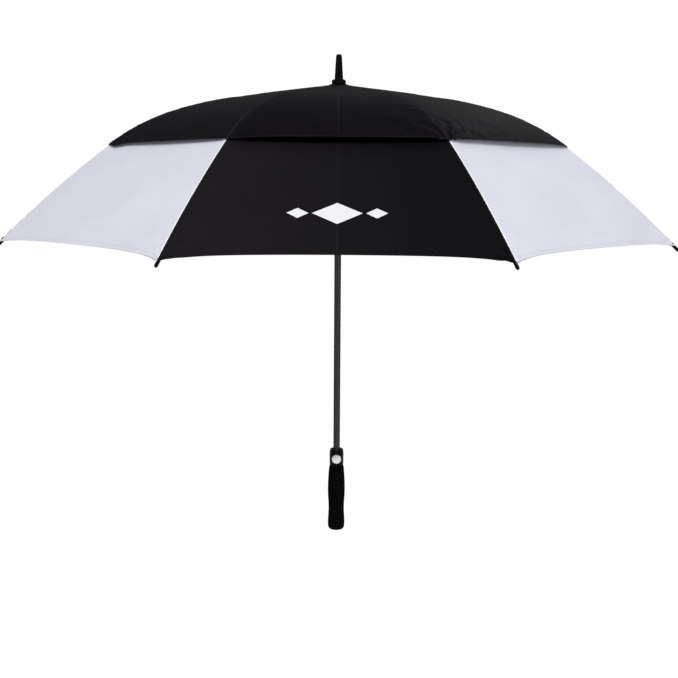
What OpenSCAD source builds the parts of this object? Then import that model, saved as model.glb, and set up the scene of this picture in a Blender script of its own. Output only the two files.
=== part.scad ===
// Automatic golf umbrella with a vented double canopy.
// Z runs up the shaft; the origin is the middle of the grip's flat bottom.
// Every node is drawn open, with the runner at its top stop.

/* [Shaft and top] */
// overall length, grip bottom to ferrule end
total_l = 1000; // [900:1:1100]
// outside radius of the hollow fibreglass shaft
shaft_r = 7; // [5:0.1:8]
// bore radius of the shaft
shaft_bore_r = 5.2; // [3:0.1:6]
// height of the hinge circle of the ribs in the crown
crown_z = 931.5; // [850:0.5:960]
// radius of the hinge circle in the crown
crown_pin_r = 11.5; // [9:0.1:14]
// outside radius of the crown
crown_r = 15; // [12:0.1:20]
// base radius of the ferrule
ferrule_r = 8.7; // [6:0.1:10]
// radius of the ferrule near its end
ferrule_tip_r = 5.9; // [4:0.1:7]

/* [Ribs] */
// number of ribs and panels
rib_n = 8; // [6:1:10]
// radius of a fibreglass rib
rib_r = 2; // [1.5:0.1:3]
// first stretch of the rib, counted from the crown
rib_l1 = 245; // [200:1:280]
// second stretch, up to the stretcher clip
rib_l2 = 86; // [60:1:110]
// third stretch, the strongly bent one
rib_l3 = 136; // [100:1:160]
// last stretch, out to the tip
rib_l4 = 274; // [220:1:300]
// slope of the rib below level at the crown
rib_a0 = 4.4; // [0:0.1:12]
// slope at the end of the first stretch
rib_a1 = 11.8; // [6:0.1:20]
// slope at the end of the second stretch
rib_a2 = 19; // [10:0.1:30]
// slope at the end of the third stretch
rib_a3 = 37.3; // [25:0.1:45]
// slope at the tip
rib_a4 = 45.1; // [30:0.1:55]
// distance along the rib to the stretcher clip
clip_s = 330; // [280:1:360]
// drop of the clip's pin below the rib
clip_drop = 7; // [5:0.1:10]
// distance along the rib to the place where it flexes straight
flex_s = 389; // [360:1:420]
// distance along the rib at which the tip cap starts
cap_s = 722; // [700:1:730]
// radius of a tip cap
cap_r = 2.8; // [2.6:0.1:5]

/* [Stretchers and runner] */
// stretcher length between its two pins
stretcher_l = 348; // [330:0.5:360]
// stretcher rod radius
stretcher_r = 2; // [1.5:0.1:3]
// radius of the hinge circle on the runner
runner_pin_r = 12.5; // [10:0.1:15]
// outside radius of the runner's collar
runner_r = 16; // [14:0.1:20]
// length of the runner below its hinge circle
runner_drop = 83; // [60:1:90]
// travel of the runner from open to closed
runner_go = 475.2; // [400:0.1:500]

/* [Canopy] */
// cloth thickness of the solid panels
cloth_t = 0.8; // [0.4:0.1:1.2]
// distance along the rib at which the lower panels start
lower_s0 = 240; // [180:1:300]
// distance along the rib of the lower panels' corners
lower_s1 = 733; // [700:1:735]
// how far the hem is cut back between two corners
hem_cut = 7.5; // [0:0.5:30]
// how much further the hem runs out into each corner
corner_run = 9; // [0:0.5:15]
// distance along the rib of the vent canopy's corners
vent_s1 = 467; // [420:1:500]
// how far a lower panel dips between two ribs
panel_dip = 7; // [0:0.5:15]

/* [Handle] */
// height of the foam grip
grip_h = 146; // [120:1:180]
// radius of the straight stretch of the grip
grip_r = 18.5; // [16:0.1:22]
// bottom of that straight stretch
grip_z0 = 82; // [70:1:90]
// top of that straight stretch
grip_z1 = 102; // [95:1:115]
// radius of the plastic core inside the foam
core_r = 9.5; // [8:0.1:12]
// top of the button housing
housing_h = 181; // [170:1:200]
// radius of the button housing
housing_r = 15.2; // [13:0.1:18]
// height of the button's middle
button_z = 162; // [155:0.5:168]
// radius of the button
button_r = 10.25; // [6:0.05:11]
// travel of the button
button_go = 2.5; // [1:0.1:3]
// height of the catch lever's pivot
catch_z = 174; // [173.5:0.1:175]

/* [Hidden] */
$fn = 64;
step = 360 / rib_n;
S = [0, rib_l1, rib_l1 + rib_l2, rib_l1 + rib_l2 + rib_l3, rib_l1 + rib_l2 + rib_l3 + rib_l4];
G = [rib_a0, rib_a1, rib_a2, rib_a3, rib_a4];
black = [0.10, 0.10, 0.11];
white = [0.88, 0.88, 0.93];

// slope of the rib and position on it, at a distance s along it
function part(s) = s < S[1] ? 0 : s < S[2] ? 1 : s < S[3] ? 2 : 3;
function turn(k) = (G[k + 1] - G[k]) / (S[k + 1] - S[k]);
function slope(s) = let (k = part(s)) G[k] + turn(k) * (s - S[k]);
function bend_r(k) = 180 / PI / turn(k);
function up(a) = [sin(a), cos(a)];
function along(k, s) = bend_r(k) * [sin(G[k] + turn(k) * (s - S[k])) - sin(G[k]),
                                    cos(G[k] + turn(k) * (s - S[k])) - cos(G[k])];
function start(k) = k == 0 ? [crown_pin_r, crown_z] : start(k - 1) + along(k - 1, S[k]);
function at(s) = let (k = part(s)) start(k) + along(k, s);
function azimuth(i) = -90 + step / 2 + step * (i - 1);

clip = at(clip_s) - clip_drop * up(slope(clip_s));
runner_z = clip[1] - sqrt(pow(stretcher_l, 2) - pow(clip[0] - runner_pin_r, 2));
reach = atan2(clip[1] - runner_z, clip[0] - runner_pin_r);
runner_bottom = runner_z - runner_drop;

// ---- small helpers, drawn in the plane of a rib ----
module rib_plane(i) { rotate([0, 0, azimuth(i)]) children(); }
module on_rib(s) { translate([at(s)[0], 0, at(s)[1]]) rotate([0, slope(s), 0]) children(); }
module rod(len, r) { rotate([0, 90, 0]) cylinder(h = len, r = r); }
module disc(r, t) { rotate([90, 0, 0]) cylinder(h = t, r = r, center = true); }
module bent_rod(k, s0, s1, r) {
  a0 = G[k] + turn(k) * (s0 - S[k]);
  a1 = G[k] + turn(k) * (s1 - S[k]);
  c = start(k) - bend_r(k) * up(G[k]);
  translate([c[0], 0, c[1]]) rotate([90, 0, 0]) rotate([0, 0, 90 - a1])
    rotate_extrude(angle = a1 - a0) translate([bend_r(k), 0]) circle(r = r);
}
module wire_ring(r0, wire) {
  half = r0 * tan(step / 2);
  for (i = [1:rib_n]) rib_plane(i) translate([r0, 0, 0]) {
    rotate([90, 0, 0]) cylinder(h = 2 * half, r = wire, center = true);
    translate([0, half, 0]) sphere(r = wire + 0.06);
  }
}

// ---- fixed pieces of the frame ----
module shaft() color([0.07, 0.07, 0.08]) difference() {
  translate([0, 0, 8]) cylinder(h = 938, r = shaft_r);
  translate([0, 0, 7]) cylinder(h = 940, r = shaft_bore_r);
  for (x = [-1, 1]) {
    translate([x * 6, 0, runner_bottom + 30.5 - runner_go / 2]) cube([6, 2.6, runner_go + 6], center = true);
  }
}
module ferrule() color(black) {
  rotate_extrude() polygon([[0, 932], [5.15, 932], [5.15, 946.1], [7.4, 946.1], [7.4, 951.5], [ferrule_r, 951.5],
    [ferrule_r - 0.3, 958], [ferrule_r - 1, 968], [ferrule_r - 1.7, 980],
    [ferrule_tip_r + 0.3, total_l - 6], [ferrule_tip_r, total_l - 3], [ferrule_tip_r - 1, total_l - 1],
    [ferrule_tip_r - 2.6, total_l], [0, total_l]]);
}
module ferrule_collar() color([0.13, 0.13, 0.14]) difference() {
  rotate_extrude() polygon([[7.5, 942.4], [13.4, 942.4], [14.3, 943.4], [14.3, 948.8], [13.2, 950.4], [10.2, 951.4], [7.5, 951.4]]);
  for (i = [0:19]) rotate([0, 0, i * 18]) translate([14.7, 0, 940]) cylinder(h = 14, r = 1.1);
}
module rosette() color([0.12, 0.12, 0.13]) rotate_extrude()
  polygon([[7.05, 939.4], [18.4, 939.4], [19.2, 939.9], [18.2, 940.9], [15.6, 941.6], [12.5, 942.3], [7.05, 942.3]]);
module crown() color([0.14, 0.14, 0.15]) difference() {
  rotate_extrude() polygon([[7, crown_z - 7.5], [crown_r - 1, crown_z - 7.5], [crown_r, crown_z - 6.5],
    [crown_r, crown_z + 5], [crown_r - 1, crown_z + 6], [7, crown_z + 6]]);
  rotate_extrude() translate([crown_pin_r - 0.9, crown_z - 0.9]) square([2.8, 10]);
  for (i = [1:rib_n]) rib_plane(i) translate([8.8, -1.3, crown_z - 10]) cube([10, 2.6, 20]);
}
module crown_wire() color([0.75, 0.76, 0.78]) translate([0, 0, crown_z]) wire_ring(crown_pin_r, 0.7);
module end_stop() color([0.16, 0.16, 0.17]) translate([0, 0, runner_z + 5.4]) difference() {
  cylinder(h = 5, r = 9.4);
  translate([0, 0, -1]) cylinder(h = 7, r = shaft_r + 0.03);
}

// ---- ribs ----
module rib_inner(i) color([0.12, 0.12, 0.13]) rib_plane(i) {
  on_rib(0) difference() {
    union() {
      disc(2.4, 1.6);
      translate([0, -0.8, -1.8]) cube([11, 1.6, 3.6]);
    }
    disc(0.75, 4);
  }
  bent_rod(0, 10, S[1], rib_r);
  bent_rod(1, S[1], S[2], rib_r);
  bent_rod(2, S[2], flex_s - 3.2, rib_r);
  on_rib(flex_s) difference() {
    union() {
      disc(2.6, 1.4);
      translate([-5, -0.7, -1.9]) cube([5, 1.4, 3.8]);
    }
    disc(0.95, 4);
  }
  on_rib(clip_s) translate([0, 0, -clip_drop]) {
    for (y = [-1.7, 1.7]) {
      translate([0, y, 0]) disc(2.6, 1.2);
      translate([-2.6, y - 0.6, 0]) cube([5.2, 1.2, clip_drop]);
    }
    disc(1, 3.4);
  }
  on_rib(clip_s) translate([-5, 0, 0]) rod(10, rib_r + 0.5);
}
module rib_outer(i) color([0.12, 0.12, 0.13]) rib_plane(i) {
  bent_rod(2, flex_s + 3.2, S[3], rib_r);
  bent_rod(3, S[3], cap_s + 14, rib_r);
  on_rib(flex_s) {
    for (y = [-1.5, 1.5]) {
      translate([0, y, 0]) disc(2.6, 1);
      translate([0, y - 0.5, -1.9]) cube([5, 1, 3.8]);
    }
    disc(0.9, 2.4);
  }
}
module rib_tip(i) color([0.05, 0.05, 0.05]) rib_plane(i) on_rib(cap_s + 7) difference() {
  union() {
    translate([-7, 0, 0]) rod(16.5, cap_r);
    translate([9.5, 0, 0]) sphere(r = cap_r);
  }
  translate([-8, 0, 0]) rod(15.2, rib_r + 0.06);
}
module stretcher(i) color([0.12, 0.12, 0.13]) rib_plane(i)
  translate([clip[0], 0, clip[1]]) rotate([0, 180 - reach, 0]) {
    difference() {
      union() {
        disc(2.6, 1.6);
        translate([0, -0.8, -1.8]) cube([7, 1.6, 3.6]);
      }
      disc(1.05, 4);
    }
    translate([6, 0, 0]) rod(stretcher_l - 16, stretcher_r);
    difference() {
      union() {
        translate([stretcher_l, 0, 0]) disc(2.4, 1.6);
        translate([stretcher_l - 11, -0.8, -1.8]) cube([11, 1.6, 3.6]);
      }
      translate([stretcher_l, 0, 0]) disc(0.75, 4);
    }
  }

// ---- runner and spring ----
module runner() color([0.14, 0.14, 0.15]) translate([0, 0, runner_bottom]) difference() {
  rotate_extrude() polygon([[7.08, 0], [8.6, 0], [9.3, 0.8], [9.3, 3], [8.2, 3], [8.2, 7.6], [9.3, 7.6],
    [9.3, 18], [11.8, 22], [12.4, 26], [11.6, 34], [11.2, 44], [11.6, 54], [12.4, 62], [12.4, 66],
    [runner_r - 0.6, runner_drop - 6.4], [runner_r, runner_drop - 5.6], [runner_r, runner_drop + 4],
    [runner_r - 1, runner_drop + 5], [7.08, runner_drop + 5]]);
  rotate_extrude() translate([runner_pin_r - 0.9, runner_drop - 0.9]) square([2.9, 10]);
  for (i = [1:rib_n]) rib_plane(i) translate([9.6, -1.3, runner_drop - 3.2]) cube([10, 2.6, 20]);
  translate([0, 0, 30]) rotate([0, 90, 0]) cylinder(h = 40, r = 1, center = true);
}
module runner_wire() color([0.75, 0.76, 0.78]) translate([0, 0, runner_z]) wire_ring(runner_pin_r, 0.7);
module spring_plunger() color([0.7, 0.71, 0.73]) translate([0, 0, runner_bottom + 30]) {
  rotate([0, 90, 0]) cylinder(h = 20.8, r = 1, center = true);
  translate([0, 0, -6]) cylinder(h = 12, r = 5.12);
}
module opening_spring() color([0.62, 0.63, 0.66]) translate([0, 0, 8.2]) difference() {
  cylinder(h = runner_bottom + 24 - 8.6, r = 4.8);
  translate([0, 0, -1]) cylinder(h = runner_bottom + 24, r = 3.7);
}

// ---- canopy ----
function blend_in(x) = x <= 0 ? 0 : x >= 1 ? 1 : x * x * (3 - 2 * x);
function lower_off(s) = rib_r + 1.7;
function vent_off(s) = rib_r + 1.7 + 5.4 * exp(-s / 70) + 1.4 * blend_in((s - 190) / 45);
// point of the cloth above the rib at azimuth a, lifted by h along the rib's normal
function over(s, a, h) = let (p = at(s) + h * up(slope(s))) [p[0] * cos(a), p[0] * sin(a), p[1]];
function mix3(p, q, t) = p * (1 - t) + q * t;
function lift(s, a) = let (n = up(slope(s))) [n[0] * cos(a), n[0] * sin(a), n[1]];

// a closed sheet between two grids of points, rows along the rib
module sheet_solid(top, under) {
  n = len(top);
  m = len(top[0]);
  function id(u, i, j) = u * n * m + i * m + j;
  pts = concat([for (i = [0:n - 1]) each top[i]], [for (i = [0:n - 1]) each under[i]]);
  faces = concat(
    [for (i = [0:n - 2], j = [0:m - 2]) each
      [[id(0, i, j), id(0, i + 1, j + 1), id(0, i + 1, j)], [id(0, i, j), id(0, i, j + 1), id(0, i + 1, j + 1)],
       [id(1, i, j), id(1, i + 1, j), id(1, i + 1, j + 1)], [id(1, i, j), id(1, i + 1, j + 1), id(1, i, j + 1)]]],
    [for (i = [0:n - 2]) each
      [[id(0, i, 0), id(0, i + 1, 0), id(1, i + 1, 0)], [id(0, i, 0), id(1, i + 1, 0), id(1, i, 0)],
       [id(0, i + 1, m - 1), id(0, i, m - 1), id(1, i, m - 1)], [id(0, i + 1, m - 1), id(1, i, m - 1), id(1, i + 1, m - 1)]]],
    [for (j = [0:m - 2]) each
      [[id(0, 0, j + 1), id(0, 0, j), id(1, 0, j)], [id(0, 0, j + 1), id(1, 0, j), id(1, 0, j + 1)],
       [id(0, n - 1, j), id(0, n - 1, j + 1), id(1, n - 1, j + 1)], [id(0, n - 1, j), id(1, n - 1, j + 1), id(1, n - 1, j)]]]);
  polyhedron(points = pts, faces = faces, convexity = 6);
}
function panel_point(i, s0, t, h) =
  let (w = min(t, 1 - t) * 2 * at(lower_s1)[0] * sin(step / 2),
       s = s0 - (hem_cut * 4 * t * (1 - t) + corner_run * (1 - exp(-w / 36))) * blend_in((s0 - lower_s1 + 160) / 160),
       m = azimuth(i) + step / 2,
       dip = panel_dip * sin(180 * t) * (0.55 + 0.45 * blend_in((vent_s1 + 110 - s) / 150)))
  mix3(over(s, azimuth(i), lower_off(s)), over(s, azimuth(i + 1), lower_off(s)), t) + (h - dip) * lift(s, m);
module lower_panel(i) color(i % 2 == 0 ? black : white) {
  ss = [for (k = [0:16]) lower_s0 + (lower_s1 - lower_s0) * k / 16];
  ts = [0.0025, 0.03, 0.09, 0.18, 0.3, 0.4, 0.5, 0.6, 0.7, 0.82, 0.91, 0.97, 0.9975];
  sheet_solid([for (s = ss) [for (t = ts) panel_point(i, s, t, cloth_t / 2)]],
              [for (s = ss) [for (t = ts) panel_point(i, s, t, -cloth_t / 2)]]);
}
function vent_point(c, k, h) =
  let (i = floor(c / 4) + 1, t = (c % 4) / 4, a = azimuth(i), b = azimuth(i + 1),
       s = k < 2 ? 0 : 20 + (vent_s1 - 20) * (k - 2) / 12,
       r = k == 0 ? 7.6 : 18.6)
  k < 2 ? concat(r * [cos(a + step * t), sin(a + step * t)], [938.8 + h])
        : mix3(over(s, a, vent_off(s)), over(s, b, vent_off(s)), t) + h * lift(s, a + step * t);
module vent_canopy() {
  n = 15;
  m = 4 * rib_n;
  function id(u, k, c) = u * n * m + k * m + (c % m);
  pts = concat([for (k = [0:n - 1], c = [0:m - 1]) vent_point(c, k, cloth_t / 2)],
               [for (k = [0:n - 1], c = [0:m - 1]) vent_point(c, k, -cloth_t / 2)]);
  faces = concat(
    [for (k = [0:n - 2], c = [0:m - 1]) each
      [[id(0, k, c), id(0, k + 1, c + 1), id(0, k + 1, c)], [id(0, k, c), id(0, k, c + 1), id(0, k + 1, c + 1)],
       [id(1, k, c), id(1, k + 1, c), id(1, k + 1, c + 1)], [id(1, k, c), id(1, k + 1, c + 1), id(1, k, c + 1)]]],
    [for (c = [0:m - 1]) each
      [[id(0, 0, c + 1), id(0, 0, c), id(1, 0, c)], [id(0, 0, c + 1), id(1, 0, c), id(1, 0, c + 1)],
       [id(0, n - 1, c), id(0, n - 1, c + 1), id(1, n - 1, c + 1)], [id(0, n - 1, c), id(1, n - 1, c + 1), id(1, n - 1, c)]]]);
  color(black) polyhedron(points = pts, faces = faces, convexity = 6);
}

// ---- handle ----
module grip_foam() color([0.06, 0.06, 0.065]) rotate_extrude() polygon([[0, 0], [12, 0], [14.6, 0.6], [16.4, 2.2],
  [17.4, 4.6], [17.9, 8], [18.15, 14], [18.1, 20], [17.7, 27], [17.2, 35], [16.9, 43], [16.8, 50], [16.95, 57],
  [17.3, 64], [17.8, 71], [18.3, 78], [grip_r, grip_z0], [grip_r, grip_z1], [18.3, 106], [17.9, 113], [17.4, 121],
  [16.9, 129], [16.4, 135], [15.8, 140], [15, 144], [14.2, grip_h], [core_r, grip_h], [core_r, 6], [0, 6]]);
module grip_core() color([0.1, 0.1, 0.1]) difference() {
  translate([0, 0, 6]) cylinder(h = grip_h - 6, r = core_r);
  translate([0, 0, 8]) cylinder(h = grip_h, r = shaft_r);
}
module bezel_shape() {
  r0 = 12.6; r1 = 4.6; d = 12.6;
  a = asin((r0 - r1) / d);
  circle(r = r0);
  translate([0, d]) circle(r = r1);
  polygon([[r0 * cos(a), r0 * sin(a)], [r1 * cos(a), d + r1 * sin(a)], [-r1 * cos(a), d + r1 * sin(a)], [-r0 * cos(a), r0 * sin(a)]]);
}
module handle_housing() color([0.09, 0.09, 0.1]) difference() {
  union() {
    rotate_extrude() polygon([[7, grip_h], [14.3, grip_h], [15, 148.6], [housing_r, 156], [housing_r, 170],
      [15, housing_h - 6], [14.5, housing_h - 2.4], [13.6, housing_h - 0.6], [12.6, housing_h], [7, housing_h]]);
    translate([0, -8.6, button_z]) rotate([90, 0, 0]) linear_extrude(height = 7.8) bezel_shape();
  }
  translate([0, 0, 100]) cylinder(h = 200, r = shaft_r + 0.03);
  translate([0, 0, housing_h - 7.2]) cylinder(h = 20, r = 9.8);
  translate([0, -9.2, button_z]) rotate([90, 0, 0]) cylinder(h = 20, r = 10.3);
  translate([0, -8, button_z - 6]) rotate([90, 0, 0]) cylinder(h = 4, r = 3.4);
  translate([-3.6, -14.2, 157]) cube([7.2, 6.95, 40]);
  translate([0, -10.5, catch_z]) rotate([0, 90, 0]) cylinder(h = 13.6, r = 1.05, center = true);
}
module button() color([0.8, 0.81, 0.83]) translate([0, -12, button_z]) rotate([90, 0, 0]) difference() {
  rotate_extrude() polygon([[0, 0], [button_r, 0], [button_r, 3.6], [button_r - 0.5, 4.2], [8.6, 4.9], [6.4, 5.5],
    [3.6, 5.9], [0, 6.1]]);
  translate([0, -6, -1]) cylinder(h = 3.6, r = 3.2);
  translate([-3.6, -0.4, -1]) cube([7.2, 20, 3]);
}
module button_spring() color([0.7, 0.71, 0.73]) translate([0, -8.3, button_z - 6]) rotate([90, 0, 0]) difference() {
  cylinder(h = 6, r = 2.8);
  translate([0, 0, -1]) cylinder(h = 9, r = 2.1);
}
module catch_lever() color([0.72, 0.73, 0.75]) {
  translate([-3, -11.1, 159.4]) cube([6, 1.2, 20.5]);
  translate([-3, -10.2, 178.7]) cube([6, 1.5, 1.2]);
  translate([0, -10.62, 160]) rotate([0, 90, 0]) cylinder(h = 6, r = 0.8, center = true);
  translate([0, -10.5, catch_z]) rotate([0, 90, 0]) cylinder(h = 13, r = 1, center = true);
}

shaft();
ferrule();
ferrule_collar();
rosette();
crown();
crown_wire();
end_stop();
rib_inner(1);  // rib_inner_1
rib_inner(2);  // rib_inner_2
rib_inner(3);  // rib_inner_3
rib_inner(4);  // rib_inner_4
rib_inner(5);  // rib_inner_5
rib_inner(6);  // rib_inner_6
rib_inner(7);  // rib_inner_7
rib_inner(8);  // rib_inner_8
rib_outer(1);  // rib_outer_1
rib_outer(2);  // rib_outer_2
rib_outer(3);  // rib_outer_3
rib_outer(4);  // rib_outer_4
rib_outer(5);  // rib_outer_5
rib_outer(6);  // rib_outer_6
rib_outer(7);  // rib_outer_7
rib_outer(8);  // rib_outer_8
rib_tip(1);  // rib_tip_1
rib_tip(2);  // rib_tip_2
rib_tip(3);  // rib_tip_3
rib_tip(4);  // rib_tip_4
rib_tip(5);  // rib_tip_5
rib_tip(6);  // rib_tip_6
rib_tip(7);  // rib_tip_7
rib_tip(8);  // rib_tip_8
stretcher(1);  // stretcher_1
stretcher(2);  // stretcher_2
stretcher(3);  // stretcher_3
stretcher(4);  // stretcher_4
stretcher(5);  // stretcher_5
stretcher(6);  // stretcher_6
stretcher(7);  // stretcher_7
stretcher(8);  // stretcher_8
runner();
runner_wire();
spring_plunger();
opening_spring();
lower_panel(1);  // lower_panel_1
lower_panel(2);  // lower_panel_2
lower_panel(3);  // lower_panel_3
lower_panel(4);  // lower_panel_4
lower_panel(5);  // lower_panel_5
lower_panel(6);  // lower_panel_6
lower_panel(7);  // lower_panel_7
lower_panel(8);  // lower_panel_8
vent_canopy();
grip_foam();
grip_core();
handle_housing();
button();
button_spring();
catch_lever();
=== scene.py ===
import math

import bpy
import numpy as np
from mathutils import Matrix, Vector


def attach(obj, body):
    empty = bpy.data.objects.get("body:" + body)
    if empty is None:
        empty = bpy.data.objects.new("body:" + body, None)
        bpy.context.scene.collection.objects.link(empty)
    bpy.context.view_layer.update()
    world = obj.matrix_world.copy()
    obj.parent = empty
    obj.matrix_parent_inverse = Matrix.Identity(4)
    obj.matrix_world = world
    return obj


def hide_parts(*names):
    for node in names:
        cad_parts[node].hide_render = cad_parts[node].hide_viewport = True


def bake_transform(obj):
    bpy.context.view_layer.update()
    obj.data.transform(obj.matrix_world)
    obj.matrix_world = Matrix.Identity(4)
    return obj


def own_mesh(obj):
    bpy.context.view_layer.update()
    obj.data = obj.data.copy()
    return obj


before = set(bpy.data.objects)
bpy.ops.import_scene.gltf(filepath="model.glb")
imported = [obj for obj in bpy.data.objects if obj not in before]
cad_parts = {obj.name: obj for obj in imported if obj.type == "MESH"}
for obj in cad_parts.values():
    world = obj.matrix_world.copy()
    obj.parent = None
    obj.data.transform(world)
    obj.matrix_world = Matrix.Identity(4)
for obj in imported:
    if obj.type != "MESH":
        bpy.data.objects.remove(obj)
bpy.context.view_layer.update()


MM = 0.001

# ---------------------------------------------------------------- rib curve, as in the CAD source
# distance along the rib and the slope there, in mm and degrees; CROWN is the rib's hinge as (radius, height)
RIB_S = [0.0, 245.0, 331.0, 467.0, 741.0]
RIB_A = [4.4, 11.8, 19.0, 37.3, 45.1]
CROWN = (11.5, 931.5)
FLEX_S = 389.0
HEM_S = 733.0
HEM_CUT = 7.5
CORNER_RUN = 9.0
VENT_S = 467.0
LOWER_S0 = 240.0
STEP = 45.0
HALF_STEP = math.radians(STEP / 2)
FOLD_DEG = 73.0879
FLEX_DEG = -18.0703


def rib_slope(s):
    return np.interp(s, RIB_S, RIB_A)


_fine = np.arange(0.0, 760.0, 0.25)
_a = np.radians(rib_slope(_fine))
_x = CROWN[0] + np.concatenate([[0], np.cumsum((np.cos(_a[1:]) + np.cos(_a[:-1])) / 2 * 0.25)])
_z = CROWN[1] - np.concatenate([[0], np.cumsum((np.sin(_a[1:]) + np.sin(_a[:-1])) / 2 * 0.25)])


def rib_xz(s):
    return np.interp(s, _fine, _x), np.interp(s, _fine, _z)


def azimuth(i):
    return math.radians(-90 + STEP / 2 + STEP * (i - 1))


def turned(x, z, deg, ox, oz):
    c, k = math.cos(math.radians(deg)), math.sin(math.radians(deg))
    dx, dz = x - ox, z - oz
    return ox + dx * c + dz * k, oz - dx * k + dz * c


def closed_x(s):
    """Distance from the shaft of the rib's point s when the umbrella is closed."""
    x, z = rib_xz(s)
    fx, fz = rib_xz(FLEX_S)
    bx, bz = turned(x, z, FLEX_DEG, fx, fz)
    x = np.where(np.asarray(s) > FLEX_S, bx, x)
    z = np.where(np.asarray(s) > FLEX_S, bz, z)
    return turned(x, z, FOLD_DEG, *CROWN)[0]


def smooth(x):
    x = np.clip(x, 0, 1)
    return x * x * (3 - 2 * x)


# ---------------------------------------------------------------- cloth surfaces
def lower_off(s):
    # above the flexing place the cloth tucks in towards the rib, so that the vent covers it when folded
    return 3.7 - 0.9 * smooth((FLEX_S - s) / 70)


def vent_off(s):
    return 3.7 + 5.4 * np.exp(-s / 70) + 1.4 * smooth((s - 190) / 45)


def noise1(x, seed):
    """Smooth wandering number along x, the same every run."""
    r = np.random.default_rng(seed)
    out = 0 * x
    for k in range(5):
        f = 0.012 * (1.7 ** k)
        out = out + r.uniform(0.5, 1) * np.sin(x * f * 2 * math.pi + r.uniform(0, 6.28)) / (1 + 0.6 * k)
    return out


# how far each gore of the vent stands proud in its middle, at its free edge
VENT_BULGE = {8: 5.6, 7: 0.8, 1: 4.6, 2: 3.5, 3: 2.0, 4: 4.5, 5: 2.5, 6: 4.0}


# how deep each lower panel lies under the vent's flap, as a share of the usual dip
FLAP_DEPTH = {8: 1.0, 7: 0.75, 1: 0.35, 2: 0.9, 3: 0.7, 4: 1.0, 5: 0.6, 6: 0.9}


def hem_s(t):
    """Distance along the rib at which a lower panel's hem runs."""
    w = np.minimum(t, 1 - t) * 2 * float(rib_xz(HEM_S)[0]) * math.sin(HALF_STEP)
    return HEM_S - HEM_CUT * 4 * t * (1 - t) - CORNER_RUN * (1 - np.exp(-w / 36))


def vent_edge_s(i, t):
    """Distance along the rib at which the vent's free edge runs: it hangs a little lower beside some ribs."""
    w = t * 2 * float(rib_xz(VENT_S)[0]) * math.sin(HALF_STEP)
    droop = {7: 7.0, 3: 4.0, 5: 5.0}.get(i, 1.5)
    return VENT_S + droop * np.exp(-((w - 30) / 22) ** 2)


def flat_point(kind, i, s, t):
    """The same place on the plain ruled sheet between two ribs, without dip, bulge or wrinkles."""
    off = lower_off(s) if kind == "lower" else vent_off(s)
    x, z = rib_xz(s)
    sl = np.radians(rib_slope(s))
    r = x + off * np.sin(sl)
    a, b = azimuth(i), azimuth(i + 1)
    px = (1 - t) * r * math.cos(a) + t * r * math.cos(b)
    py = (1 - t) * r * math.sin(a) + t * r * math.sin(b)
    return np.stack([px, py, z + off * np.cos(sl)], -1)


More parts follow.
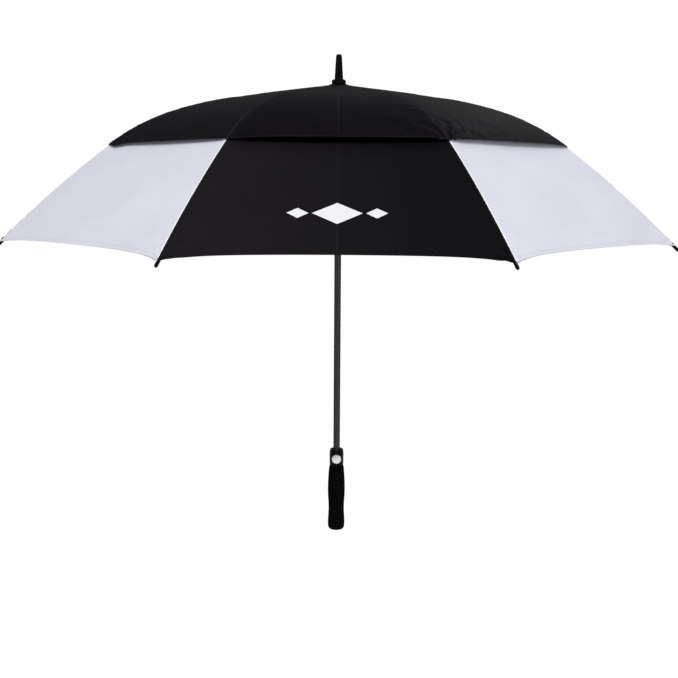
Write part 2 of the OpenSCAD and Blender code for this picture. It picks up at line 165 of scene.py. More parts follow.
def cloth_point(kind, i, s, t, h):
    """Point of a panel's cloth, in mm: s along the rib, t from rib i (0) to rib i + 1 (1), h proud of it."""
    a, b = azimuth(i), azimuth(i + 1)
    m = (a + b) / 2
    off = lower_off(s) if kind == "lower" else vent_off(s)
    x, z = rib_xz(s)
    sl = np.radians(rib_slope(s))
    r = x + off * np.sin(sl)
    zz = z + off * np.cos(sl)
    if kind == "vent":
        # the middle lies flat under the rosette, before the ribs begin
        flat = s < 20
        r = np.where(flat, 14.0 + (s / 20.0) * (r - 14.0), r)
        zz = np.where(flat, 938.9 + (s / 20.0) ** 2 * (zz - 938.9), zz)
    px = (1 - t) * r * math.cos(a) + t * r * math.cos(b)
    py = (1 - t) * r * math.sin(a) + t * r * math.sin(b)
    nx, ny, nz = np.sin(sl) * math.cos(m), np.sin(sl) * math.sin(m), np.cos(sl)
    w = np.minimum(t, 1 - t) * 2 * r * math.sin(HALF_STEP)
    across = np.sin(math.pi * t)
    full = (1 - np.exp(-w / 14)) * (0.7 + 0.3 * across)
    if kind == "lower":
        by_vent = np.exp(-((s - VENT_S) / 42) ** 2) * 0.8
        share = across * (1 - by_vent) + FLAP_DEPTH[i] * full * by_vent
        dip = 7.0 * share * (0.55 + 0.45 * smooth((VENT_S + 110 - s) / 150))
        near_hem = np.exp(-(np.maximum(HEM_S - s, 0) / 55) ** 2)
        side_phase = np.where(t < 0.5, 0, 2.6)
        wave = np.sin(s / 5.6 + 2.2 * noise1(s, 11 * i + 3) + side_phase)
        pull = 0.28 * np.exp(-w / 15) * wave * smooth(w / 5)
        pull = pull + 1.25 * near_hem * np.exp(-w / 17) * smooth(w / 4) * np.sin(
            s / 2.3 + 1.6 * noise1(s * 2.1, 5 * i + 2) + side_phase - w / 7)
        fan = 0
        for side in (0, 1):
            tt = t if side == 0 else 1 - t
            wd = tt * 2 * r * math.sin(HALF_STEP)
            d = np.hypot(HEM_S - s, wd)
            ang = np.arctan2(wd, np.maximum(HEM_S - s, 0) + 6)
            fan = fan + 0.8 * np.exp(-d / 42) * smooth(d / 12) * np.sin(ang * 13 + i * 1.7 + side)
        h = h - dip + pull + fan
        h = h - 0.9 * np.exp(-(w / 2.2) ** 2)
    else:
        up = VENT_BULGE[i] * full * smooth((s - 190) / 275)
        side_phase = np.where(t < 0.5, 0, 2)
        wave = np.sin(s / 7.0 + 2.5 * noise1(s, 7 * i + 1) + side_phase)
        pull = 0.35 * np.exp(-w / 14) * wave * smooth(w / 5)
        fan = 0
        for side in (0, 1):
            tt = t if side == 0 else 1 - t
            wd = tt * 2 * r * math.sin(HALF_STEP)
            d = np.hypot(VENT_S - s, wd)
            ang = np.arctan2(wd, np.maximum(VENT_S - s, 0) + 8)
            taut = 1.7 if (i, side) in ((8, 1), (1, 0), (4, 1), (5, 0)) else 0.45
            wander = 1.2 * noise1(d * 1.2, 3 * i + side) + i * 2.3 + side * 1.2
            rays = np.sin(ang * (8.5 + 2 * math.sin(i + side)) + wander)
            fan = fan + taut * np.exp(-d / (75 if taut > 1 else 55)) * smooth(d / 14) * rays
        crease = -0.35 * np.exp(-((t - 0.5) * x / 3.0) ** 2) * smooth((s - 30) / 60)
        h = h + (up + pull + fan + crease) * smooth(s / 40)
        h = h - 0.8 * np.exp(-(w / 2.2) ** 2) * smooth((s - 20) / 30)
        # towards the crown the cloth is gathered into small folds
        h = h + 0.9 * np.exp(-np.maximum(s - 8, 0) / 26) * np.sin(4 * math.pi * t) * smooth(s / 10)
    return np.stack([px + nx * h, py + ny * h, zz + nz * h], -1)


def grid_mesh(name, pts, normals, uv, uv2):
    """One quad mesh from a grid of points (rows, columns, 3) in mm, with its own normals and its UV maps."""
    n, m = pts.shape[:2]
    mesh = bpy.data.meshes.new(name)
    ids = np.arange(n * m).reshape(n, m)
    q = np.stack([ids[:-1, :-1], ids[1:, :-1], ids[1:, 1:], ids[:-1, 1:]], -1).reshape(-1, 4)
    mesh.from_pydata((pts.reshape(-1, 3) * MM).tolist(), [], q.tolist())
    mesh.polygons.foreach_set("use_smooth", [True] * len(mesh.polygons))
    loops = np.empty(len(mesh.loops), int)
    mesh.loops.foreach_get("vertex_index", loops)
    for label, grid in (("UVMap", uv), ("Edge", uv2)):
        layer = mesh.uv_layers.new(name=label)
        layer.data.foreach_set("uv", grid.reshape(-1, 2)[loops].astype(np.float32).ravel())
    mesh.normals_split_custom_set_from_vertices(normals.reshape(-1, 3).tolist())
    mesh.update()
    o = bpy.data.objects.new(name, mesh)
    bpy.context.scene.collection.objects.link(o)
    return o


def ring_mesh(name, pts, material, inward=False, closed=False):
    """A tube from rings of points (rings, points in a ring, 3) in mm. inward turns its faces over."""
    rings, around = pts.shape[:2]
    ids = np.arange(rings * around).reshape(rings, around)
    nxt = np.roll(ids, -1, 1)
    corners = [ids[:-1], ids[1:], nxt[1:], nxt[:-1]] if inward else [ids[:-1], nxt[:-1], nxt[1:], ids[1:]]
    quads = np.stack(corners, -1).reshape(-1, 4).tolist()
    if closed:
        quads += [ids[0, ::-1].tolist(), ids[-1].tolist()]
    mesh = bpy.data.meshes.new(name)
    mesh.from_pydata((pts.reshape(-1, 3) * MM).tolist(), [], quads)
    mesh.polygons.foreach_set("use_smooth", [True] * len(mesh.polygons))
    o = bpy.data.objects.new(name, mesh)
    bpy.context.scene.collection.objects.link(o)
    mesh.materials.append(material)
    return o


def cloth_grid(kind, i, s, t, h):
    """Points of a panel's cloth and the normals there, from short steps along and across."""
    p = cloth_point(kind, i, s, t, h)
    e = 0.002
    ps = cloth_point(kind, i, s + 0.4, t, h) - cloth_point(kind, i, s - 0.4, t, h)
    pt = cloth_point(kind, i, s, t + e, h) - cloth_point(kind, i, s, t - e, h)
    nrm = np.cross(ps, pt)
    nrm = nrm / np.maximum(np.linalg.norm(nrm, axis=-1, keepdims=True), 1e-9)
    nrm = np.where(nrm[..., 2:] < 0, -nrm, nrm)
    return p, nrm


def spread(n, near):
    """0..1 in n steps, closer together near 0."""
    u = np.linspace(0, 1, n)
    return near * u ** 2 + (1 - near) * u


# every sheet made so far: object, flat width, flat length, area
CLOTH = []


def half_panel(kind, rib, side, s0, s1, body, rows, cols, material, label, proud=0.0):
    """Half a gore: from rib's seam to the gore's middle, on side +1 (towards rib + 1) or -1."""
    i = rib if side > 0 else (rib - 2) % 8 + 1
    u = spread(cols, 0.75) * 0.5
    t = u if side > 0 else 1 - u
    v = np.linspace(0, 1, rows)
    T, V = np.meshgrid(t, v)
    cut = HEM_S - hem_s(T) if (kind == "lower" and s1 >= HEM_S) else 0 * T
    end = vent_edge_s(i, T) if (kind == "vent" and s1 >= VENT_S) else s1 - cut
    S = s0 + (end - s0) * V
    pts, nrm = cloth_grid(kind, i, S, T, proud)
    if side < 0:
        pts, nrm, S, T, cut = pts[:, ::-1], nrm[:, ::-1], S[:, ::-1], T[:, ::-1], cut[:, ::-1]
    x, _ = rib_xz(S)
    wide = 2 * x * math.sin(HALF_STEP)
    edge_s = hem_s(T) if kind == "lower" else vent_edge_s(i, T)
    uv = np.stack([(T - 0.5) * wide * MM, S * MM], -1)
    uv2 = np.stack([np.minimum(T, 1 - T) * wide * MM, (edge_s - S) * MM], -1)
    o = grid_mesh(label, pts, nrm, uv, uv2)
    o.data.materials.append(material)
    # direction across the half gore, at right angles to the rib's chord
    line = flat_point(kind, i, v * (s1 - s0) + s0, 0 * v + (0 if side > 0 else 1))
    mid = flat_point(kind, i, v * (s1 - s0) + s0, 0 * v + 0.5)
    chord = line[-1] - line[0]
    chord /= np.linalg.norm(chord)
    across = (mid - line).mean(0)
    across -= chord * (across @ chord)
    across /= np.linalg.norm(across)
    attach(o, body)
    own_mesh(o)
    diagonals = np.cross(pts[1:, 1:] - pts[:-1, :-1], pts[1:, :-1] - pts[:-1, 1:])
    area = np.linalg.norm(diagonals, axis=-1).sum() / 2 * 1e-6
    CLOTH.append((o, float(wide.max()) / 2 * MM, (s1 - s0) * MM, float(area)))
    return o


# ---------------------------------------------------------------- materials
BLACK = (0.0050, 0.0044, 0.0058)
WHITE = (0.675, 0.68, 0.77)
# thread pitch and stitch length of the cloth, in metres
WEAVE = 0.0011
STITCH = 0.0036
# the printed diamonds: their place along the rib, then each one's place across, half width and half height
MARK_S = 0.634
MARK = ((0.0, 0.037, 0.022), (-0.058, 0.016, 0.0105), (0.058, 0.016, 0.0105))


def new_material(name, color, rough, metallic=0.0, spec=0.5):
    m = bpy.data.materials.new(name)
    m.use_nodes = True
    b = m.node_tree.nodes["Principled BSDF"]
    b.inputs["Base Color"].default_value = (*color, 1)
    b.inputs["Roughness"].default_value = rough
    b.inputs["Metallic"].default_value = metallic
    b.inputs["Specular IOR Level"].default_value = spec
    return m, m.node_tree, b


def nd(tree, kind, **kw):
    n = tree.nodes.new(kind)
    for k, v in kw.items():
        setattr(n, k, v)
    return n


def math_node(tree, op, a, b=None):
    n = nd(tree, "ShaderNodeMath", operation=op)
    for k, v in enumerate((a, b)):
        if v is None:
            continue
        if isinstance(v, (int, float)):
            n.inputs[k].default_value = v
        else:
            tree.links.new(v, n.inputs[k])
    return n.outputs[0]


def mix_color(tree, fac, a, b):
    n = nd(tree, "ShaderNodeMix", data_type="RGBA")
    tree.links.new(fac, n.inputs[0])
    for k, v in ((6, a), (7, b)):
        if isinstance(v, tuple):
            n.inputs[k].default_value = (*v, 1)
        else:
            tree.links.new(v, n.inputs[k])
    return n.outputs[2]


def ramp(tree, fac, lo, hi, out_lo=0.0, out_hi=1.0):
    n = nd(tree, "ShaderNodeMapRange")
    n.interpolation_type = "SMOOTHSTEP"
    tree.links.new(fac, n.inputs[0])
    for k, v in ((1, lo), (2, hi), (3, out_lo), (4, out_hi)):
        n.inputs[k].default_value = v
    return n.outputs[0]


def bump(tree, bsdf, height, strength, distance, normal=None):
    n = nd(tree, "ShaderNodeBump")
    n.inputs["Strength"].default_value = strength
    n.inputs["Distance"].default_value = distance
    tree.links.new(height, n.inputs["Height"])
    if normal is not None:
        tree.links.new(normal, n.inputs["Normal"])
    tree.links.new(n.outputs[0], bsdf.inputs["Normal"])
    return n.outputs[0]


def dashes(tree, along):
    """1 on a stitch and 0 between two stitches."""
    turn = math_node(tree, "MULTIPLY", along, 2 * math.pi / STITCH)
    return math_node(tree, "GREATER_THAN", math_node(tree, "SINE", turn), -0.3)


def cloth_material(name, color, rough, seam_or_highlight_color, mark=False, spec=0.25, mottle=0.97, hem_line_or_highlight_color=None,
                   stitch_color=(0.002, 0.002, 0.002), roll_highlight_color=(0.02, 0.02, 0.021), seam_w=0.0013,
                   hem_mid=1.0, crease_highlight_color=None, painted_light_lean=0.0):
    """Pongee: fine weave, faint creases, a sewn hem and stitched seams.

    UVMap is metres over the gore, Edge is metres from the seam and from the free edge. lean paints the gore's
    left side lighter and its right side darker: painted light and painted shade, as if lit from the left.
    """
    m, tree, b = new_material(name, color, rough, spec=spec)
    uv = nd(tree, "ShaderNodeUVMap", uv_map="UVMap").outputs[0]
    ed = nd(tree, "ShaderNodeUVMap", uv_map="Edge").outputs[0]
    s1 = nd(tree, "ShaderNodeSeparateXYZ")
    tree.links.new(uv, s1.inputs[0])
    s2 = nd(tree, "ShaderNodeSeparateXYZ")
    tree.links.new(ed, s2.inputs[0])
    u, v = s1.outputs[0], s1.outputs[1]
    seam, edge = s2.outputs[0], s2.outputs[1]
    # weave
    pitch = 2 * math.pi / WEAVE
    wu = math_node(tree, "SINE", math_node(tree, "MULTIPLY", u, pitch))
    wv = math_node(tree, "SINE", math_node(tree, "MULTIPLY", v, pitch))
    weave = math_node(tree, "MULTIPLY", wu, wv)
    # soft, long creases
    big = nd(tree, "ShaderNodeTexNoise")
    big.inputs["Scale"].default_value = 9.0
    big.inputs["Detail"].default_value = 3.0
    tree.links.new(uv, big.inputs["Vector"])
    small = nd(tree, "ShaderNodeTexNoise")
    small.inputs["Scale"].default_value = 55.0
    small.inputs["Detail"].default_value = 2.0
    tree.links.new(uv, small.inputs["Vector"])
    # hem fold line and stitches
    fold = math_node(tree, "SUBTRACT", ramp(tree, edge, 0.0078, 0.0084), ramp(tree, edge, 0.0086, 0.0094))
    line_hem = math_node(tree, "SUBTRACT", ramp(tree, edge, 0.0060, 0.0063), ramp(tree, edge, 0.0067, 0.0070))
    line_seam = math_node(tree, "SUBTRACT", ramp(tree, seam, 0.0032, 0.0035),
                          ramp(tree, seam, 0.0038, 0.0041))
    stitch = math_node(tree, "MAXIMUM", math_node(tree, "MULTIPLY", line_hem, dashes(tree, u)),
                       math_node(tree, "MULTIPLY", line_seam, dashes(tree, v)))
    double = math_node(tree, "SUBTRACT", 1.0, ramp(tree, edge, 0.0076, 0.0088))
    h = math_node(tree, "MULTIPLY", weave, 0.010)
    h = math_node(tree, "ADD", h, math_node(tree, "MULTIPLY", small.outputs[0], 0.10))
    h = math_node(tree, "ADD", h, math_node(tree, "MULTIPLY", double, 0.25))
    h = math_node(tree, "ADD", h, math_node(tree, "MULTIPLY", stitch, -0.35))
    n1 = nd(tree, "ShaderNodeBump")
    n1.inputs["Strength"].default_value = 0.30
    n1.inputs["Distance"].default_value = 0.004
    tree.links.new(big.outputs[0], n1.inputs["Height"])
    bump(tree, b, h, 0.55, 0.0012, n1.outputs[0])
    # colour: slightly mottled, darker along the stitches and mostly along seam and hem; the white cloth's seam
    # and the vent's hem are painted lighter instead, as painted highlights
    tone = ramp(tree, big.outputs[0], 0.25, 0.75, 0.0, 1.0)
    dark = tuple(c * mottle for c in color)
    col = mix_color(tree, tone, dark, color)
    # painted light and painted shade: the gore's left side lighter, its right side darker, as if lit from the
    # left
    if painted_light_lean:
        tone2 = ramp(tree, u, -0.24, 0.26, 0.0, 1.0)
        left, right = tuple(c * (1 + painted_light_lean) for c in color), tuple(c * (1 - painted_light_lean) for c in color)
        col = mix_color(tree, tone2, left, right)
        col = mix_color(tree, math_node(tree, "MULTIPLY", tone, 0.3), col, dark)
    if crease_highlight_color:
        # the packing crease down the gore's middle, painted lighter than the cloth: a painted highlight along
        # the fold
        mid = math_node(tree, "SUBTRACT", 1.0, ramp(tree, math_node(tree, "ABSOLUTE", u), 0.0004, 0.0017))
        mid = math_node(tree, "MULTIPLY", mid, ramp(tree, small.outputs[0], 0.35, 0.65, 0.2, 0.75))
        col = mix_color(tree, mid, col, crease_highlight_color)
    # the seam line: darker on black cloth; on white cloth lighter, a painted highlight along the seam
    near = math_node(tree, "SUBTRACT", 1.0, ramp(tree, seam, 0.0003, seam_w))
    # the line along the free edge: darker than the lower panels' cloth; lighter than the vent's cloth, a
    # painted highlight along the flap's edge
    hem_line_mask = math_node(tree, "SUBTRACT", 1.0, ramp(tree, edge, 0.0004, 0.0016))
    hem_line_mask = math_node(tree, "MULTIPLY", hem_line_mask, ramp(tree, seam, 0.015, 0.07, 1.0, hem_mid))
    line = math_node(tree, "MAXIMUM", math_node(tree, "MULTIPLY", stitch, 0.35),
                     math_node(tree, "MULTIPLY", fold, 0.25))
    col = mix_color(tree, line, col, stitch_color)
    col = mix_color(tree, hem_line_mask, col, hem_line_or_highlight_color or seam_or_highlight_color)
    # the seam's rolled edge stands a little proud beside its stitched valley; a lighter colour is painted on
    # it as a painted highlight
    roll = math_node(tree, "SUBTRACT", ramp(tree, seam, 0.0011, 0.0016), ramp(tree, seam, 0.0021, 0.0027))
    col = mix_color(tree, math_node(tree, "MULTIPLY", roll, 0.5), col, roll_highlight_color)
    col = mix_color(tree, near, col, seam_or_highlight_color)
    if mark:
        # a plain printed mark: a large diamond between two small ones
        total = None
        for middle, half_w, half_h in MARK:
            off_u = math_node(tree, "ABSOLUTE", math_node(tree, "SUBTRACT", u, middle))
            off_v = math_node(tree, "ABSOLUTE", math_node(tree, "SUBTRACT", v, MARK_S))
            du = math_node(tree, "DIVIDE", off_u, half_w)
            dv = math_node(tree, "DIVIDE", off_v, half_h)
            d = math_node(tree, "ADD", du, dv)
            inside = math_node(tree, "LESS_THAN", d, 1.0)
            total = inside if total is None else math_node(tree, "MAXIMUM", total, inside)
        col = mix_color(tree, total, col, (0.74, 0.74, 0.75))
    tree.links.new(col, b.inputs["Base Color"])
    return m


# the vent's hem colour is a painted highlight along the flap's edge
cloth_vent = cloth_material("cloth_vent", BLACK, 0.64, (0.0010, 0.0010, 0.0012), spec=0.018, mottle=0.72,
                            hem_line_or_highlight_color=(0.024, 0.019, 0.026), roll_highlight_color=(0.045, 0.045, 0.046),
                            crease_highlight_color=(0.013, 0.012, 0.014))
cloth_black = cloth_material("cloth_black", BLACK, 0.60, (0.0012, 0.0012, 0.0014), spec=0.05, mottle=0.75,
                             crease_highlight_color=(0.012, 0.011, 0.013))
# the white cloth's seam colour is a painted highlight, lighter than the cloth
cloth_white = cloth_material("cloth_white", WHITE, 0.55, (0.93, 0.93, 0.94), spec=0.10, mottle=0.94,
                             hem_line_or_highlight_color=(0.12, 0.11, 0.15), stitch_color=(0.45, 0.45, 0.52),
                             roll_highlight_color=(0.86, 0.86, 0.90), seam_w=0.0030, hem_mid=0.3)
# near-black cloth for the sheet of painted shade under the vent's flap
cloth_shade_sheet = cloth_material("cloth_shade_sheet", (0.0012, 0.0010, 0.0014), 0.8, (0.0008, 0.0008, 0.0008), spec=0.0)
# the front gore carries painted light: lighter at its left side and darker at its right
cloth_front = cloth_material("cloth_front", BLACK, 0.60, (0.0012, 0.0012, 0.0014), mark=True, spec=0.05,
                             mottle=0.75, crease_highlight_color=(0.012, 0.011, 0.013), painted_light_lean=0.65)


def noisy_plastic(name, color, rough, scale, height, spec=0.5):
    """A hard surface whose roughness and height vary in fine grain."""
    m, tree, b = new_material(name, color, rough, spec=spec)
    co = nd(tree, "ShaderNodeTexCoord").outputs["Object"]
    n = nd(tree, "ShaderNodeTexNoise")
    n.inputs["Scale"].default_value = scale
    n.inputs["Detail"].default_value = 4.0
    tree.links.new(co, n.inputs["Vector"])
    grain = ramp(tree, n.outputs[0], 0.3, 0.7, rough * 0.85, min(1, rough * 1.15))
    tree.links.new(grain, b.inputs["Roughness"])
    bump(tree, b, n.outputs[0], 0.4, height)
    return m


plastic = noisy_plastic("plastic_black", (0.0022, 0.0022, 0.0023), 0.30, 900, 0.00015, spec=0.05)
plastic_matt = noisy_plastic("plastic_matt", (0.0026, 0.0026, 0.0027), 0.5, 700, 0.0002, spec=0.06)
fibre = noisy_plastic("fibre_black", (0.0030, 0.0030, 0.0032), 0.36, 1400, 0.0001, spec=0.08)
steel = noisy_plastic("steel_wire", (0.55, 0.56, 0.58), 0.28, 1200, 0.00005)
steel.node_tree.nodes["Principled BSDF"].inputs["Metallic"].default_value = 1.0
chrome, _t, _b = new_material("chrome", (0.66, 0.66, 0.67), 0.30, metallic=0.75)
_n = nd(_t, "ShaderNodeTexNoise")
_n.inputs["Scale"].default_value = 500
_t.links.new(nd(_t, "ShaderNodeTexCoord").outputs["Object"], _n.inputs["Vector"])
_t.links.new(ramp(_t, _n.outputs[0], 0.3, 0.7, 0.24, 0.38), _b.inputs["Roughness"])
bump(_t, _b, _n.outputs[0], 0.5, 0.0009)

foam, _t, _b = new_material("foam_black", (0.002, 0.002, 0.002), 0.88, spec=0.0)
_co = nd(_t, "ShaderNodeTexCoord").outputs["Object"]
_v = nd(_t, "ShaderNodeTexVoronoi")
_v.inputs["Scale"].default_value = 1500
_t.links.new(_co, _v.inputs["Vector"])
_n = nd(_t, "ShaderNodeTexNoise")
_n.inputs["Scale"].default_value = 260
_n.inputs["Detail"].default_value = 5
_t.links.new(_co, _n.inputs["Vector"])
_h = math_node(_t, "ADD", math_node(_t, "MULTIPLY", _v.outputs[0], 0.5), _n.outputs[0])
bump(_t, _b, _h, 0.8, 0.0005)
_grain = mix_color(_t, ramp(_t, _n.outputs[0], 0.35, 0.65), (0.0022, 0.0022, 0.0023),
                   (0.0046, 0.0046, 0.0047))
_t.links.new(_grain, _b.inputs["Base Color"])

# ---------------------------------------------------------------- the canopy
LOWER_NODES = {i: f"lower_panel_{i}" for i in range(1, 9)}


def lower_material(i):
    return cloth_front if i == 8 else cloth_black if i % 2 == 0 else cloth_white


for rib in range(1, 9):
    for side in (1, -1):
        gore = rib if side > 0 else (rib - 2) % 8 + 1
        tag = f"{gore}_{'a' if side > 0 else 'b'}"
        o1 = half_panel("lower", rib, side, LOWER_S0, FLEX_S, f"rib_inner_{rib}", 26, 44,
                        lower_material(gore), f"lower_in_{tag}")
        o2 = half_panel("lower", rib, side, FLEX_S, HEM_S, f"rib_outer_{rib}", 130, 44,
                        lower_material(gore), f"lower_out_{tag}")
        o3 = half_panel("vent", rib, side, 0.0, FLEX_S, f"rib_inner_{rib}", 80, 34,
                        cloth_vent, f"vent_in_{tag}")
        o4 = half_panel("vent", rib, side, FLEX_S, VENT_S, f"rib_outer_{rib}", 40, 34,
                        cloth_vent, f"vent_out_{tag}")
        pieces = [o1, o2]
        if gore % 2 == 0:
            # a near-black sheet on top of the panel where the vent's flap lies over it: painted shade for the
            # flap's shadow
            pieces.append(half_panel("lower", rib, side, 436.0, 465.5, f"rib_outer_{rib}", 10, 44,
                                     cloth_shade_sheet, f"flap_shade_{tag}", 0.5))
        for o in pieces:
            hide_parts(LOWER_NODES[gore])
        for o in (o3, o4):
            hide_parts("vent_canopy")


def strip(kind, rib, side, s0, s1, material, label):
    """The fold of cloth beside a rib: under the cloth when open, between this rib and the next when folded."""
    i = rib if side > 0 else (rib - 2) % 8 + 1
    rows, cols = int((s1 - s0) / 8), 7
    s = np.linspace(s0, s1, rows)
    off = lower_off(s) if kind == "lower" else vent_off(s)
    half = (closed_x(s) + off) * math.tan(HALF_STEP) * 1.10 + 0.8
    x, _ = rib_xz(s)
    wide = 2 * (x + off * np.sin(np.radians(rib_slope(s)))) * math.sin(HALF_STEP)
    u = np.linspace(0.012, 1, cols)
    S = np.repeat(s[:, None], cols, 1)
    T = (half / wide)[:, None] * u[None, :]
    T = T if side > 0 else 1 - T
    pts, nrm = cloth_grid(kind, i, S, T, -0.55)
    if side < 0:
        pts, nrm, S, T = pts[:, ::-1], nrm[:, ::-1], S[:, ::-1], T[:, ::-1]
    uv = np.stack([(T - 0.5) * wide[:, None] * MM, S * MM], -1)
    uv2 = np.stack([0 * S + 0.02, 0 * S + 0.03], -1)
    o = grid_mesh(label, pts, nrm, uv, uv2)
    o.data.materials.append(material)
    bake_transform(o)
    area = float((half[:-1] + half[1:]).sum() / 2 * (s1 - s0) / (rows - 1)) * 1e-6
    CLOTH.append((o, float(half.max()) * MM, (s1 - s0) * MM, area))
    return o


for rib in range(1, 9):
    for side in (1, -1):
        gore = rib if side > 0 else (rib - 2) % 8 + 1
        tag = f"{gore}_{'a' if side > 0 else 'b'}"
        black = gore % 2 == 0
        strip("lower", rib, side, 428.0, 724.0, cloth_black if black else cloth_white, f"fold_lower_{tag}")
        strip("vent", rib, side, 4.0, 466.0, cloth_black, f"fold_vent_{tag}")

for o, width, length, area in CLOTH:
    area = min(max(area, 0.301 * width * length), width * length)


# ---------------------------------------------------------------- lathe helper
def lathe(name, profile, material, n):
    """A surface of revolution round Z from (r, z) points in mm."""
    prof = np.array(profile, float)
    a = np.linspace(0, 2 * math.pi, n, endpoint=False)
    r, z = prof[:, None, 0], np.repeat(prof[:, None, 1], n, 1)
    return ring_mesh(name, np.stack([r * np.cos(a), r * np.sin(a), z], -1), material)


def curve_through(points, n):
    """Smooth line through (r, z) points."""
    p = np.array(points, float)
    d = np.concatenate([[0], np.cumsum(np.hypot(*(p[1:] - p[:-1]).T))])
    t = np.linspace(0, d[-1], n)
    # Catmull-Rom by Hermite pieces
    m = np.gradient(p, d, axis=0)
    out = []
    for x in t:
        k = min(max(np.searchsorted(d, x) - 1, 0), len(d) - 2)
        h = d[k + 1] - d[k]
        u = (x - d[k]) / h
        out.append((2 * u ** 3 - 3 * u ** 2 + 1) * p[k] + (u ** 3 - 2 * u ** 2 + u) * h * m[k]
                   + (-2 * u ** 3 + 3 * u ** 2) * p[k + 1] + (u ** 3 - u ** 2) * h * m[k + 1])
    return np.array(out)


# ---------------------------------------------------------------- grip, shaft, rosette
# the foam grip's outline from its rounded end up, as (radius, height)
GRIP = [(0.01, 0.05), (8, 0.05), (12, 0.15), (14.6, 0.9), (16.4, 2.5), (17.4, 5), (17.9, 8.5),
        (18.12, 14), (18.08, 20), (17.7, 27), (17.2, 35), (16.9, 43), (16.8, 50), (16.95, 57),
        (17.3, 64), (17.8, 71), (18.2, 78), (18.42, 85), (18.48, 92), (18.42, 99), (18.2, 106),
        (17.85, 113), (17.4, 121), (16.9, 129), (16.4, 135), (15.8, 140), (15.1, 143.6), (14.4, 145.4),
        (13.4, 145.95), (9.6, 146)]
grip = lathe("grip", curve_through(GRIP, 180), foam, 128)
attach(grip, "frame")
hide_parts("grip_foam")

# the wound shaft: a slight helical ridge
zs = np.arange(160.0, 940.0, 1.0)
n_round = 72
ang = np.linspace(0, 2 * math.pi, n_round, endpoint=False)
phase = 2 * math.pi * zs[:, None] / 10.0 - ang[None, :]
ridge = 0.5 + 0.5 * np.cos(phase)
rad = 6.95 + 0.13 * ridge ** 2
pts = np.stack([rad * np.cos(ang), rad * np.sin(ang), np.repeat(zs[:, None], n_round, 1)], -1)
shaft_mat, _t, _b = new_material("shaft_wound", (0.046, 0.046, 0.047), 0.36, metallic=1.0)
_b.inputs["Specular Tint"].default_value = (0.05, 0.05, 0.05, 1)
_b.inputs["Anisotropic"].default_value = 0.95
_b.inputs["Anisotropic Rotation"].default_value = 0.25
_t.links.new(nd(_t, "ShaderNodeTangent", direction_type="RADIAL", axis="Z").outputs[0], _b.inputs["Tangent"])
shaft_tube = ring_mesh("shaft_tube", pts, shaft_mat)
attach(shaft_tube, "frame")
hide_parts("shaft")


def coil(name, start, axis, side, length, radius, wire, turns):
    """A wire spring from start along axis."""
    axis, side = np.array(axis, float), np.array(side, float)
    third = np.cross(axis, side)
    n = int(turns * 18)
    u = np.linspace(0, 1, n)
    turn = 2 * math.pi * turns * u
    out = np.cos(turn)[:, None] * side + np.sin(turn)[:, None] * third
    mid = np.array(start, float) + radius * out + ((wire + u * (length - 2 * wire))[:, None]) * axis
    ring = np.linspace(0, 2 * math.pi, 6, endpoint=False)
    around = np.cos(ring)[None, :, None] * out[:, None] + np.sin(ring)[None, :, None] * axis
    pts = mid[:, None] + wire * around
    o = ring_mesh(name, pts, steel, closed=True)
    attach(o, "frame")
    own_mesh(o)
    return o


spring = coil("opening_spring_coil", (0, 0, 8.2), (0, 0, 1), (1, 0, 0), 666.0, 4.25, 0.55, 90)
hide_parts("opening_spring")
spring = coil("button_spring_coil", (0, -8.3, 156.0), (0, -1, 0), (1, 0, 0), 5.9, 2.45, 0.32, 5)
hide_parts("button_spring")

# gathered fabric rosette
rr = np.linspace(8.0, 19.6, 22)
n_round = 192
ang = np.linspace(0, 2 * math.pi, n_round, endpoint=False)
R, A = np.meshgrid(rr, ang, indexing="ij")
k = (R - 8) / 11.6
gathers = np.sin(23 * A + 0.6 * np.sin(5 * A))
edge = 1 + 0.035 * k * gathers
Z = 942.3 - 1.9 * k ** 1.6 + (0.55 * k) * gathers + 0.15 * k * np.sin(41 * A)
Z = np.maximum(Z, 939.2)
pts = np.stack([R * edge * np.cos(A), R * edge * np.sin(A), Z], -1)
rosette_mat, _t, _b = new_material("rosette_cloth", (0.006, 0.0056, 0.007), 0.6, spec=0.1)
_n = nd(_t, "ShaderNodeTexNoise")
_n.inputs["Scale"].default_value = 900
_t.links.new(nd(_t, "ShaderNodeTexCoord").outputs["Object"], _n.inputs["Vector"])
bump(_t, _b, _n.outputs[0], 0.5, 0.0003)
rosette = ring_mesh("rosette_cloth", pts, rosette_mat, inward=True)
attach(rosette, "frame")
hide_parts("rosette")

# small round patch of cloth over the crown, under the vent's middle
rr = np.linspace(8.0, 21.5, 12)
n_round = 96
ang = np.linspace(0, 2 * math.pi, n_round, endpoint=False)
R, A = np.meshgrid(rr, ang, indexing="ij")
k = (R - 8) / 13.5
Z = 938.2 - 3.9 * k ** 1.4 + 0.35 * k * np.sin(8 * A + math.pi / 2) + 0.15 * k * np.sin(27 * A)
pts = np.stack([R * np.cos(A), R * np.sin(A), Z], -1)
patch = ring_mesh("crown_patch", pts, rosette_mat, inward=True)
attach(patch, "frame")
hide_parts("vent_canopy")

# ---------------------------------------------------------------- CAD pieces that are shown as they are
LOOK = {"ferrule": plastic, "ferrule_collar": plastic_matt, "crown": plastic, "crown_wire": steel,
        "end_stop": plastic, "runner": plastic, "runner_wire": steel, "spring_plunger": steel,
        "opening_spring": steel, "grip_core": plastic, "handle_housing": plastic, "button": chrome,
        "button_spring": steel, "catch_lever": steel}
for name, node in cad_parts.items():
    mat = LOOK.get(name)
    if mat is None:
        mat = plastic if name.startswith("rib_tip") else fibre
    node.data.materials.clear()
    node.data.materials.append(mat)

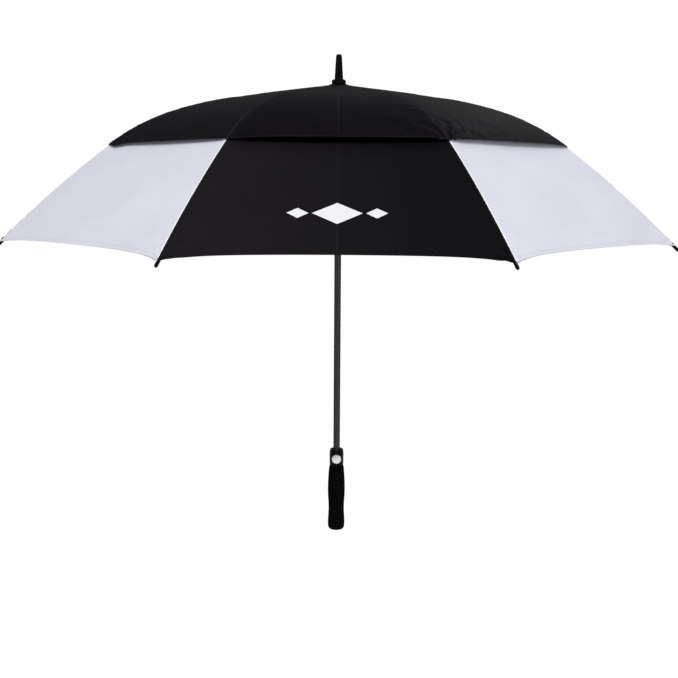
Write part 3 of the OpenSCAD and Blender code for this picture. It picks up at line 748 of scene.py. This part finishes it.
# ---------------------------------------------------------------- floor, light, camera
FLOOR_HALF = 30.0
FLOOR_Z = -1.25
FOCAL_MM = 47.2035
SENSOR_MM = 36
CAMERA_AT = (0.0037, -1.851, 0.749)
CAMERA_PITCH = 0.1751
CAMERA_ROLL = 0.0066

floor_mesh = bpy.data.meshes.new("floor")
corners = [(x * FLOOR_HALF, y * FLOOR_HALF, FLOOR_Z) for x, y in ((-1, -1), (1, -1), (1, 1), (-1, 1))]
floor_mesh.from_pydata(corners, [], [(0, 1, 2, 3)])
floor = bpy.data.objects.new("floor", floor_mesh)
bpy.context.scene.collection.objects.link(floor)
floor_mat, _t, _b = new_material("floor_white", (0.9, 0.9, 0.9), 1.0, spec=0.0)
_b.inputs["Emission Color"].default_value = (1, 1, 1, 1)
_b.inputs["Emission Strength"].default_value = 0.55
floor_mesh.materials.append(floor_mat)

world = bpy.data.worlds.new("studio")
bpy.context.scene.world = world
world.use_nodes = True
wt = world.node_tree
# soft lights the scene, paper is what the camera sees behind it
soft = wt.nodes["Background"]
soft.inputs[0].default_value = (1, 1, 1, 1)
soft.inputs[1].default_value = 0.5
paper = wt.nodes.new("ShaderNodeBackground")
paper.inputs[0].default_value = (1, 1, 1, 1)
paper.inputs[1].default_value = 1.05
seen = wt.nodes.new("ShaderNodeLightPath")
pick = wt.nodes.new("ShaderNodeMixShader")
wt.links.new(seen.outputs["Is Camera Ray"], pick.inputs[0])
wt.links.new(soft.outputs[0], pick.inputs[1])
wt.links.new(paper.outputs[0], pick.inputs[2])
wt.links.new(pick.outputs[0], wt.nodes["World Output"].inputs[0])
bpy.context.scene.view_settings.view_transform = "Standard"


def area_light(name, loc, target, size, power):
    lamp = bpy.data.lights.new(name, "AREA")
    lamp.shape = "RECTANGLE"
    lamp.size, lamp.size_y = size
    lamp.energy = power
    o = bpy.data.objects.new(name, lamp)
    bpy.context.scene.collection.objects.link(o)
    o.location = loc
    o.rotation_mode = "QUATERNION"
    o.rotation_quaternion = (Vector(target) - Vector(loc)).to_track_quat("-Z", "Y")


area_light("key", (-0.4, -2.3, 2.7), (0, 0, 0.7), (1.3, 1.3), 47)
area_light("fill", (1.7, -1.1, 0.75), (0.4, -0.2, 0.75), (0.6, 0.9), 4.5)
area_light("strip", (0.75, -2.2, 0.1), (0, 0, 0.4), (0.14, 1.4), 1.8)
area_light("rim", (1.6, 2.3, 2.6), (0, 0, 0.8), (1.4, 0.9), 12)

cam_data = bpy.data.cameras.new("camera")
cam_data.sensor_width = SENSOR_MM
cam_data.lens = FOCAL_MM
cam = bpy.data.objects.new("camera", cam_data)
bpy.context.scene.collection.objects.link(cam)
cam.matrix_world = (Matrix.Translation(CAMERA_AT) @ Matrix.Rotation(math.pi / 2 - CAMERA_PITCH, 4, "X")
                    @ Matrix.Rotation(CAMERA_ROLL, 4, "Z"))
cam_data.clip_start, cam_data.clip_end = 0.05, 200
bpy.context.scene.camera = cam
